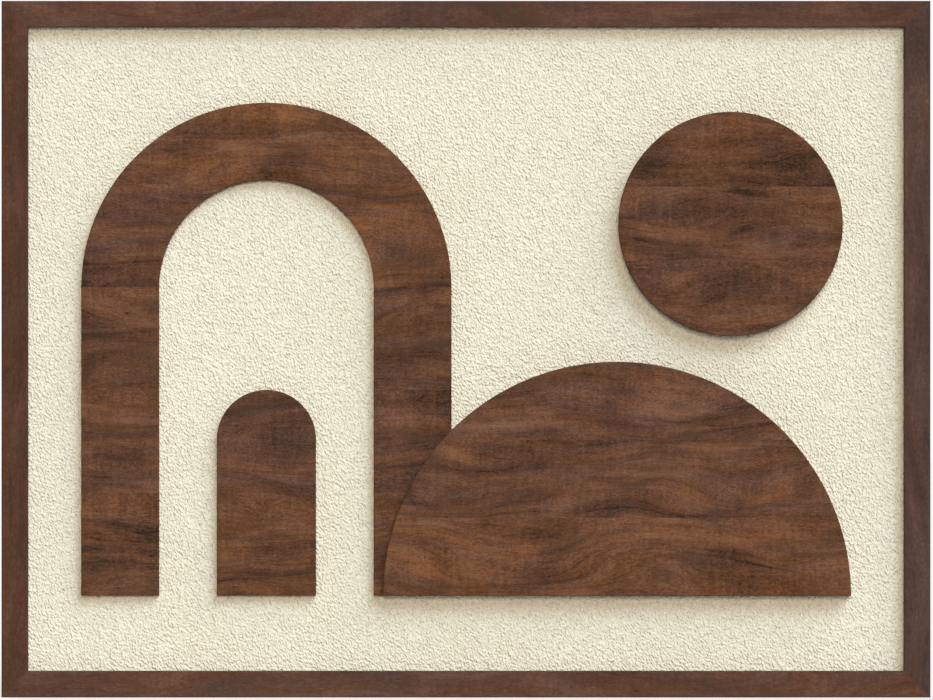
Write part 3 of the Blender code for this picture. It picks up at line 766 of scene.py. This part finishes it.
class WALLPANEL_OT_plaster(bpy.types.Operator):
    """Make the stippled plaster face, in bays that are laid edge to edge"""

    bl_idname = "wall_panel.plaster"
    bl_label = "Plaster"

    bays_across: count("Bays across", 4, "Bays side by side")
    bays_up: count("Bays up", 2, "Bays one above the other")

    def execute(self, context):
        sizes, colours = settings()
        finish = lime_plaster(sizes, colours)
        tree = self.stipple_tree()
        low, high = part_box("plaster_face")
        width = (high.x - low.x) / self.bays_across
        height = (high.z - low.z) / self.bays_up
        values = {
            "Width": width,
            "Height": height,
            "Thickness": high.y - low.y,
            "Columns": round(width / sizes.plaster_pitch) + 1,
            "Rows": round(height / sizes.plaster_pitch) + 1,
            "Spacing": sizes.stipple,
            "Depth": sizes.stipple_depth,
            "Finish": finish,
        }
        for column in range(self.bays_across):
            for row in range(self.bays_up):
                values["Middle"] = (low.x + (column + 0.5) * width, low.y, low.z + (row + 0.5) * height)
                name = f"plaster_face.bay_{column + 1}_{row + 1}"
                mesh = grow(name, tree, values)
                self.close_back(mesh)
                finish_mesh(mesh, finish, PLASTER_SMOOTH_ANGLE)
                show(name, mesh, ["plaster_face"])
        return {"FINISHED"}

    def close_back(self, mesh):
        bm = bmesh.new()
        bm.from_mesh(mesh)
        rim = [edge for edge in bm.edges if edge.is_boundary]
        bmesh.ops.edgeloop_fill(bm, edges=rim)
        bmesh.ops.recalc_face_normals(bm, faces=bm.faces)
        bm.to_mesh(mesh)
        bm.free()

    def stipple_tree(self):
        """One bay: a grid with walls down to its back edge, its front pushed in by the stipple's hollows."""
        patch_mm = 45
        tree = new_tree(
            "Stippled plaster bay",
            Width="Float",
            Height="Float",
            Thickness="Float",
            Columns="Int",
            Rows="Int",
            Middle="Vector",
            Spacing="Float",
            Depth="Float",
            Finish="Material",
        )
        given = add(tree, "NodeGroupInput").outputs
        inputs = {"Size X": given["Width"], "Size Y": given["Height"]}
        inputs |= {"Vertices X": given["Columns"], "Vertices Y": given["Rows"]}
        grid = add(tree, "GeometryNodeMeshGrid", inputs).outputs[0]
        inputs = {"Geometry": grid, "Translation": given["Middle"], "Rotation": (math.radians(90), 0, 0)}
        upright = add(tree, "GeometryNodeTransform", inputs).outputs[0]
        faces = add(tree, "GeometryNodeInputMeshEdgeNeighbors").outputs[0]
        inputs = {2: faces, 3: 1}
        border = add(tree, "FunctionNodeCompare", inputs, data_type="INT", operation="EQUAL").outputs[0]
        rearward = add(tree, "ShaderNodeCombineXYZ", {"Y": given["Thickness"]}).outputs[0]
        inputs = {"Mesh": upright, "Selection": border, "Offset": rearward}
        walls = add(tree, "GeometryNodeExtrudeMesh", inputs, mode="EDGES").outputs
        flat = stipple_place(tree, add(tree, "GeometryNodeInputPosition").outputs[0])
        closeness = add(tree, "ShaderNodeMath", {0: 1.0, 1: given["Spacing"]}, operation="DIVIDE").outputs[0]
        inputs = {"Vector": flat, "Scale": closeness, "Detail": 0.0}
        ridges = add(tree, "ShaderNodeTexNoise", inputs).outputs[0]
        inputs = {"Vector": flat, "Scale": 1000 / patch_mm, "Detail": 1.0}
        patches = add(tree, "ShaderNodeTexNoise", inputs).outputs[0]
        inputs = {"Value": patches, "From Min": 0.3, "From Max": 0.7, "To Min": 0.65}
        strength = add(tree, "ShaderNodeMapRange", inputs).outputs[0]
        inputs = {"Value": ridges, "From Min": 0.85, "From Max": 0.15}
        hollow = add(tree, "ShaderNodeMapRange", inputs).outputs[0]
        scaled = add(tree, "ShaderNodeMath", {0: hollow, 1: strength}, operation="MULTIPLY").outputs[0]
        depth = add(tree, "ShaderNodeMath", {0: scaled, 1: given["Depth"]}, operation="MULTIPLY").outputs[0]
        push = add(tree, "ShaderNodeCombineXYZ", {"Y": depth}).outputs[0]
        front = add(tree, "FunctionNodeBooleanMath", {0: walls["Top"]}, operation="NOT").outputs[0]
        inputs = {"Geometry": walls["Mesh"], "Selection": front, "Offset": push}
        stippled = add(tree, "GeometryNodeSetPosition", inputs).outputs[0]
        end_tree(tree, stippled, given["Finish"])
        return tree


# Ranges from which each board of the relief draws its tone, its greyness and the number that shifts its grain
BOARD_TONES = (-0.12, 0.06)
BOARD_GREYS = (-0.8, -0.4)
BOARD_NUMBERS = (1, 9)
LEG_COURSES = 4


class WALLPANEL_OT_relief(bpy.types.Operator):
    """Make the boards of the relief: tall arch, small arch, mound and disc"""

    bl_idname = "wall_panel.relief"
    bl_label = "Relief"

    def execute(self, context):
        self.sizes, colours = settings()
        self.chance = random.Random(SEED)
        self.finish = walnut("Oiled walnut", *walnut_colours(colours, "relief"), False)
        self.tall_arch()
        self.small_arch()
        self.mound()
        self.disc()
        return {"FINISHED"}

    def boards(self, outline, nodes, housing=None):
        """Saws a blank of this outline into boards, which meet at a finer glue line than their nodes do."""
        low, high = span(nodes)
        blank = slab(outline, high.y, low.y, self.sizes)
        closer = Vector((0, 0, (self.sizes.fit - self.sizes.glue_line) / 2))
        apart = self.sizes.arris
        for node in nodes:
            board_low, board_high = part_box(node)
            bm = blank.copy()
            if board_low.z > low.z + MERGE:
                saw(bm, board_low - closer, (0, 0, -1))
            if board_high.z < high.z - MERGE:
                saw(bm, board_high + closer, (0, 0, 1))
            other_leg = [v for v in bm.verts if not board_low.x - apart < v.co.x < board_high.x + apart]
            bmesh.ops.delete(bm, geom=other_leg, context="VERTS")
            mesh = mesh_of(bm, f"{node} dressed")
            if housing:
                mesh = subtract(mesh, *housing)
            tone, grey = self.chance.uniform(*BOARD_TONES), self.chance.uniform(*BOARD_GREYS)
            number_board(mesh, self.chance.uniform(*BOARD_NUMBERS), tone, grey)
            finish_mesh(mesh, self.finish)
            show(f"{node}.dressed", mesh, [node])
        blank.free()

    def tall_arch(self):
        courses = range(1, LEG_COURSES + 1)
        nodes = [f"arch_{side}_leg_board_{i}" for side in ("left", "right") for i in courses]
        nodes.append("arch_crown_board")
        low, high = span(nodes)
        leg_low, leg_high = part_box(nodes[0])
        outer = (high.x - low.x) / 2
        inner = outer - (leg_high.x - leg_low.x)
        x, base, spring, step = (low.x + high.x) / 2, low.z, high.z - outer, self.sizes.arc_step
        outline = [(x + outer, base), *arc(x, spring, outer, 0, 180, step), (x - outer, base)]
        outline += [(x - inner, base), *arc(x, spring, inner, 180, 0, step), (x + inner, base)]
        self.boards(outline, nodes)

    def small_arch(self):
        nodes = [f"small_arch_board_{i}" for i in (1, 2)]
        low, high = span(nodes)
        half = (high.x - low.x) / 2
        x, spring = (low.x + high.x) / 2, high.z - half
        outline = [(x + half, low.z), *arc(x, spring, half, 0, 180, self.sizes.arc_step), (x - half, low.z)]
        self.boards(outline, nodes)

    def mound(self):
        nodes = [f"mound_board_{i}" for i in (1, 2, 3)]
        low, high = span(nodes)
        radius = (high.x - low.x) / 2
        outline = arc((low.x + high.x) / 2, low.z, radius, 0, 180, self.sizes.arc_step)
        leg_low, leg_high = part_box("arch_right_leg_board_1")
        fit, beyond = self.sizes.fit, radius
        housing_low = Vector((low.x - beyond, leg_low.y - fit, low.z - beyond))
        housing_high = Vector((leg_high.x + fit, leg_high.y + beyond, high.z + beyond))
        self.boards(outline, nodes, (housing_low, housing_high))

    def disc(self):
        nodes = [f"disc_board_{i}" for i in (1, 2, 3)]
        low, high = span(nodes)
        radius = (high.x - low.x) / 2
        middle = (low + high) / 2
        outline = arc(middle.x, middle.z, radius, 0, 360, self.sizes.arc_step)[:-1]
        self.boards(outline, nodes)


class WALLPANEL_OT_back(bpy.types.Operator):
    """Make the backing board, the pine strainer and the biscuits in the mitres"""

    bl_idname = "wall_panel.back"
    bl_label = "Back"

    def execute(self, context):
        sizes, colours = settings()
        dress("backing_board", raw_fibreboard(colours), sizes.planed_edge / 2, squared=True)
        level = planed_pine("Planed pine, level", colours, False)
        upright = planed_pine("Planed pine, upright", colours, True)
        bars = (
            # Node, finish and the board's number
            ("strainer_top_bar", level, 0.4),
            ("strainer_bottom_bar", level, 1.4),
            ("strainer_left_bar", upright, 2.4),
            ("strainer_right_bar", upright, 3.4),
            ("centre_brace", upright, 4.4),
        )
        for node, finish, number in bars:
            dress(node, finish, sizes.planed_edge, number, squared=True)
        beech = pressed_beech(colours)
        for corner in ("top_left", "top_right", "bottom_left", "bottom_right"):
            dress(f"{corner}_biscuit", beech, sizes.planed_edge)
        return {"FINISHED"}


# A pan-head screw, in shares of its head's radius: the head's outline down from its top, and the rest of it
HEAD_HEIGHT = 0.63
HEAD_OUTLINE = ((0.35, 0), (0.72, -0.06), (0.93, -0.22), (1, -0.36), (1, -HEAD_HEIGHT))
SCREW_CORE = 0.52
THREAD_START = 0.3
UNTHREADED = 2
TIP_LENGTH = 1.2
RECESS_ARM = 0.5
RECESS_SLIT = 0.12
RECESS_DEPTH = 0.42
# Share of the core where the tip starts, how steep the thread is, and facets along a turn and round it
TIP_CORE = 0.9
THREAD_SLOPE = 3
TURN_STEPS = 4
SCREW_SIDES = 24


class WALLPANEL_OT_screws(bpy.types.Operator):
    """Make the pan-head screws of the relief, the strainer and the hangers"""

    bl_idname = "wall_panel.screws"
    bl_label = "Screws"

    thread_pitch: length("Thread pitch", 0.0018, "Distance between turns of the thread")
    thread_depth: length("Thread depth", 0.0005, "Height of the thread above its core")

    def execute(self, context):
        _, colours = settings()
        finish = zinc_plate(colours)
        screws = [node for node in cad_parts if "_screw_" in node]
        reliefs = ("arch", "small_arch", "mound", "disc")
        groups = {
            "relief_screws": [node for node in screws if node.split("_screw_")[0] in reliefs],
            "strainer_screws": [node for node in screws if node.startswith("strainer_")],
            "hanger_screws": [node for node in screws if "_hanger_screw_" in node],
        }
        tree = self.scatter_tree()
        for name, members in groups.items():
            self.group(name, sorted(members), tree, finish)
        return {"FINISHED"}

    def group(self, name, nodes, tree, finish):
        """Like screws, each turned to its own angle, as one piece."""
        ends = [self.ends(node) for node in nodes]
        head_top, tip, radius = ends[0]
        pattern = new_object(f"{name} pattern", self.screw_mesh((head_top - tip).length, radius))
        seats = bpy.data.meshes.new(f"{name} seats")
        seats.from_pydata([end[0] for end in ends], [], [])
        ways = seats.attributes.new("way", "FLOAT_VECTOR", "POINT")
        ways.data.foreach_set("vector", [c for top, end, _ in ends for c in (top - end).normalized()])
        mesh = grow(name, tree, {"Screw": pattern, "Finish": finish}, seats)
        data = pattern.data
        bpy.data.objects.remove(pattern)
        bpy.data.meshes.remove(data)
        finish_mesh(mesh, finish)
        show(name, mesh, nodes)

    def ends(self, node):
        """The top of the head, the tip and the head's radius of a screw, from the shape of its node."""
        low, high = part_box(node)
        size = high - low
        axis = max(range(3), key=lambda i: size[i])
        middle = (low + high) / 2
        near, far = middle.copy(), middle.copy()
        near[axis], far[axis] = low[axis], high[axis]
        radius = sorted(size)[1] / 2
        verts = [v.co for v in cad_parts[node].data.vertices]
        near_width, far_width = (
            max((v - end).length for v in verts if abs(v[axis] - end[axis]) < MERGE) for end in (near, far)
        )
        return (near, far, radius) if near_width > far_width else (far, near, radius)

    def screw_mesh(self, whole, radius):
        """A pan-head screw, its head's top at the origin and its tip below, with a cross recess."""
        head = HEAD_HEIGHT * radius
        core = SCREW_CORE * radius - self.thread_depth / 2
        rings = [(r * radius, z * radius, False) for r, z in HEAD_OUTLINE]
        rings.append((core, -head, False))
        turns = int((whole - head - UNTHREADED * radius) / self.thread_pitch)
        for i in range(turns * TURN_STEPS + 1):
            rings.append((core, -head - THREAD_START * radius - i * self.thread_pitch / TURN_STEPS, True))
        rings.append((core * TIP_CORE, -whole + TIP_LENGTH * radius, False))
        bm = bmesh.new()
        last = None
        for r, z, threaded in rings:
            ring = []
            for k in range(SCREW_SIDES):
                turn = 2 * math.pi * k / SCREW_SIDES
                phase = (z / self.thread_pitch + k / SCREW_SIDES) % 1
                rise = self.thread_depth * max(0, 1 - THREAD_SLOPE * abs(phase - 0.5)) if threaded else 0
                ring.append(bm.verts.new(((r + rise) * math.cos(turn), (r + rise) * math.sin(turn), z)))
            if last:
                for k in range(SCREW_SIDES):
                    j = (k + 1) % SCREW_SIDES
                    bm.faces.new((last[k], last[j], ring[j], ring[k]))
            else:
                bm.faces.new(ring)
            last = ring
        tip = bm.verts.new((0, 0, -whole))
        for k in range(SCREW_SIDES):
            bm.faces.new((last[k], last[(k + 1) % SCREW_SIDES], tip))
        bmesh.ops.recalc_face_normals(bm, faces=bm.faces)
        mesh = mesh_of(bm, "screw")
        arm, slit, depth = RECESS_ARM * radius, RECESS_SLIT * radius, RECESS_DEPTH * radius
        for size in ((arm, slit), (slit, arm)):
            corner = Vector((*size, depth))
            mesh = subtract(mesh, -corner, corner)
        return mesh

    def scatter_tree(self):
        """Sets a screw on each point, along the point's way and turned by chance."""
        tree = new_tree("Screws", Seats="Geometry", Screw="Object", Finish="Material")
        given = add(tree, "NodeGroupInput").outputs
        inputs = {"Name": "way"}
        way = add(tree, "GeometryNodeInputNamedAttribute", inputs, data_type="FLOAT_VECTOR").outputs[0]
        lean = add(tree, "FunctionNodeAlignRotationToVector", {"Vector": way}, axis="Z").outputs[0]
        inputs = {0: (0, 0, 0), 1: (0, 0, math.pi), "Seed": SEED}
        spin = add(tree, "FunctionNodeRandomValue", inputs, data_type="FLOAT_VECTOR").outputs[0]
        spun = add(tree, "FunctionNodeEulerToRotation", {0: spin}).outputs[0]
        both = add(tree, "FunctionNodeRotateRotation", {0: lean, 1: spun}, rotation_space="LOCAL").outputs[0]
        shape = add(tree, "GeometryNodeObjectInfo", {"Object": given["Screw"]}).outputs["Geometry"]
        points = add(tree, "GeometryNodeMeshToPoints", {"Mesh": given["Seats"]}).outputs[0]
        inputs = {"Points": points, "Instance": shape, "Rotation": both}
        placed = add(tree, "GeometryNodeInstanceOnPoints", inputs).outputs[0]
        end_tree(tree, placed, given["Finish"])
        return tree


# Arc steps between points of a ring's wire, and the fineness of the wire's round section
RING_STEP = 4
WIRE_FINENESS = 4


class WALLPANEL_OT_hangers(bpy.types.Operator):
    """Make the two strap hangers and their swinging rings"""

    bl_idname = "wall_panel.hangers"
    bl_label = "Hangers"

    def execute(self, context):
        sizes, _ = settings()
        finish = bpy.data.materials["Zinc-plated steel"]
        for side in ("left", "right"):
            dress(f"{side}_hanger_strap", finish, sizes.strap_edge)
            mesh = self.ring(f"{side}_hanger_ring", sizes)
            finish_mesh(mesh, finish)
            show(f"{side}_hanger_ring.dressed", mesh, [f"{side}_hanger_ring"], f"{side}_ring")
        return {"FINISHED"}

    def ring(self, node, sizes):
        """A D bent from round wire, with its straight bar at the top."""
        low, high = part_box(node)
        wire = (high.y - low.y) / 2
        half = (high.x - low.x) / 2 - wire
        x, y = (low.x + high.x) / 2, (low.y + high.y) / 2
        bar = high.z - wire
        bow = low.z + wire + half
        straight = wire / 3
        bend = bar - bow - straight
        step = RING_STEP * sizes.arc_step
        points = arc(x - half + bend, bar - bend, bend, 90, 180, step)
        points += arc(x, bow, half, 180, 360, step)
        points += arc(x + half - bend, bar - bend, bend, 0, 90, step)
        curve = bpy.data.curves.new(node, "CURVE")
        curve.dimensions = "3D"
        curve.bevel_depth = wire
        curve.bevel_resolution = WIRE_FINENESS
        line = curve.splines.new("POLY")
        line.points.add(len(points) - 1)
        for point, (px, pz) in zip(line.points, points):
            point.co = (px, y, pz, 1)
        line.use_cyclic_u = True
        return evaluated_mesh(new_object(node, curve), f"{node} dressed")


# The floor's gap below the panel, the lamps' distance and how far the camera sees
FLOOR_GAP = 0.0002
LAMP_DISTANCE = 3
CLIP_END = 100
# Pixels of the photograph: its width, the frame's, and how far the frame sits left of and above the middle
IMAGE_WIDTH = 933
FRAME_WIDTH = 928.7
FRAME_LEFT = 0.55
FRAME_UP = 0.85


class WALLPANEL_OT_stage(bpy.types.Operator):
    """Make the pale floor, the soft studio light and the camera"""

    bl_idname = "wall_panel.stage"
    bl_label = "Stage"

    floor_size: length("Floor size", 60.0, "Width of the studio floor")

    def execute(self, context):
        scene = context.scene
        light, colours = scene.wall_panel_light, scene.wall_panel_colours
        lamps = (
            # Name, strength, colour, width, and the way from the panel to the lamp
            ("Key", light.key, colours.key, light.key_spread, (0.38, -1, 0.68)),
            ("Front", light.front, colours.front, light.front_spread, (0, -1, 0.14)),
            ("Rake", light.rake, (1, 1, 1), light.rake_spread, (0.95, -0.5, 1.05)),
            ("Back", light.back, colours.back, light.key_spread, (-0.4, 1, 0.35)),
        )
        self.floor(light, colours)
        self.world(scene, light)
        for lamp in lamps:
            self.lamp(*lamp)
        self.camera(scene, light)
        scene.view_settings.view_transform = "Standard"
        return {"FINISHED"}

    def floor(self, light, colours):
        """A floor that takes shadows, and that the camera sees as paler than the light it throws back."""
        lowest = cad_box[0][2]
        place = Matrix.Translation((0, 0, lowest - FLOOR_GAP))
        bm = bmesh.new()
        bmesh.ops.create_grid(bm, x_segments=1, y_segments=1, size=self.floor_size / 2, matrix=place)
        floor = new_object("studio_floor", mesh_of(bm, "studio floor"))
        made, tree, shader = new_material("Pale studio floor")
        seen = self.seen(tree)
        inputs = {0: seen, 6: colours.floor_bounce, 7: colours.floor}
        pale = add(tree, "ShaderNodeMix", inputs, data_type="RGBA").outputs[2]
        feed(tree, shader, {"Base Color": pale, "Roughness": 0.9, "Specular IOR Level": 0.1})
        share = add(tree, "ShaderNodeMath", {0: seen, 1: light.floor_glow}, operation="MULTIPLY").outputs[0]
        white = add(tree, "ShaderNodeEmission").outputs[0]
        mixed = add(tree, "ShaderNodeMixShader", {0: share, 1: shader.outputs[0], 2: white}).outputs[0]
        feed(tree, tree.nodes["Material Output"], {"Surface": mixed})
        floor.data.materials.append(made)

    def world(self, scene, light):
        """White to the camera and in reflections, and a softer fill on everything else."""
        world = bpy.data.worlds.new("Studio")
        world.use_nodes = True
        tree = world.node_tree
        inputs = {"Value": self.seen(tree), "To Min": light.fill, "To Max": 1.0}
        strength = add(tree, "ShaderNodeMapRange", inputs).outputs[0]
        feed(tree, tree.nodes["Background"], {"Color": (1, 1, 1, 1), "Strength": strength})
        scene.world = world

    def seen(self, tree):
        """1 for what the camera sees, directly or reflected, and 0 for light on its way to a surface."""
        path = add(tree, "ShaderNodeLightPath").outputs
        inputs = {0: path["Is Camera Ray"], 1: path["Is Glossy Ray"]}
        either = add(tree, "ShaderNodeMath", inputs, operation="ADD").outputs[0]
        inputs = {0: either, 1: path["Is Transmission Ray"]}
        return add(tree, "ShaderNodeMath", inputs, operation="ADD", use_clamp=True).outputs[0]

    def lamp(self, name, strength, shade, spread, way):
        towards = Vector(way)
        data = bpy.data.lights.new(name, "SUN")
        data.energy = strength
        data.color = shade[:3]
        data.angle = spread
        lamp = new_object(name, data)
        lamp.rotation_mode = "QUATERNION"
        lamp.rotation_quaternion = towards.to_track_quat("Z", "Y")
        lamp.location = towards * LAMP_DISTANCE

    def camera(self, scene, light):
        """A long lens square to the frame's face, with the photograph's margins round the frame."""
        low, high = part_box("frame_top_rail")
        pixel = (high.x - low.x) / FRAME_WIDTH
        data = bpy.data.cameras.new("Camera")
        data.lens = light.lens
        data.clip_end = CLIP_END
        distance = IMAGE_WIDTH * pixel * data.lens / data.sensor_width
        camera = new_object("Camera", data)
        camera.location = (FRAME_LEFT * pixel, low.y - distance, -FRAME_UP * pixel)
        camera.rotation_euler = (math.radians(90), 0, 0)
        scene.camera = camera


OPERATORS = (
    WALLPANEL_OT_frame,
    WALLPANEL_OT_plaster,
    WALLPANEL_OT_relief,
    WALLPANEL_OT_back,
    WALLPANEL_OT_screws,
    WALLPANEL_OT_hangers,
    WALLPANEL_OT_stage,
)


class WALLPANEL_PT_sidebar(bpy.types.Panel):
    """Lists the sizes, colours, light and pieces of the wall panel"""

    bl_idname = "WALLPANEL_PT_sidebar"
    bl_label = "Wall panel"
    bl_space_type = "VIEW_3D"
    bl_region_type = "UI"
    bl_category = "Wall panel"

    def draw(self, context):
        scene = context.scene
        for group in (scene.wall_panel_sizes, scene.wall_panel_colours, scene.wall_panel_light):
            box = self.layout.box()
            for name in group.bl_rna.properties.keys():
                if name not in ("rna_type", "name"):
                    box.prop(group, name)
        for operator in OPERATORS:
            self.layout.operator(operator.bl_idname)


GROUPS = {
    "wall_panel_sizes": WallPanelSizes,
    "wall_panel_colours": WallPanelColours,
    "wall_panel_light": WallPanelLight,
}


def register():
    for kind in (*GROUPS.values(), *OPERATORS, WALLPANEL_PT_sidebar):
        bpy.utils.register_class(kind)
    for name, kind in GROUPS.items():
        setattr(bpy.types.Scene, name, PointerProperty(type=kind))


def unregister():
    for name in GROUPS:
        delattr(bpy.types.Scene, name)
    for kind in (WALLPANEL_PT_sidebar, *reversed(OPERATORS), *reversed(GROUPS.values())):
        bpy.utils.unregister_class(kind)


def main():
    register()
    bpy.ops.wall_panel.frame()
    bpy.ops.wall_panel.plaster()
    bpy.ops.wall_panel.relief()
    bpy.ops.wall_panel.back()
    bpy.ops.wall_panel.screws()
    bpy.ops.wall_panel.hangers()
    bpy.ops.wall_panel.stage()


if __name__ == "__main__":
    main()
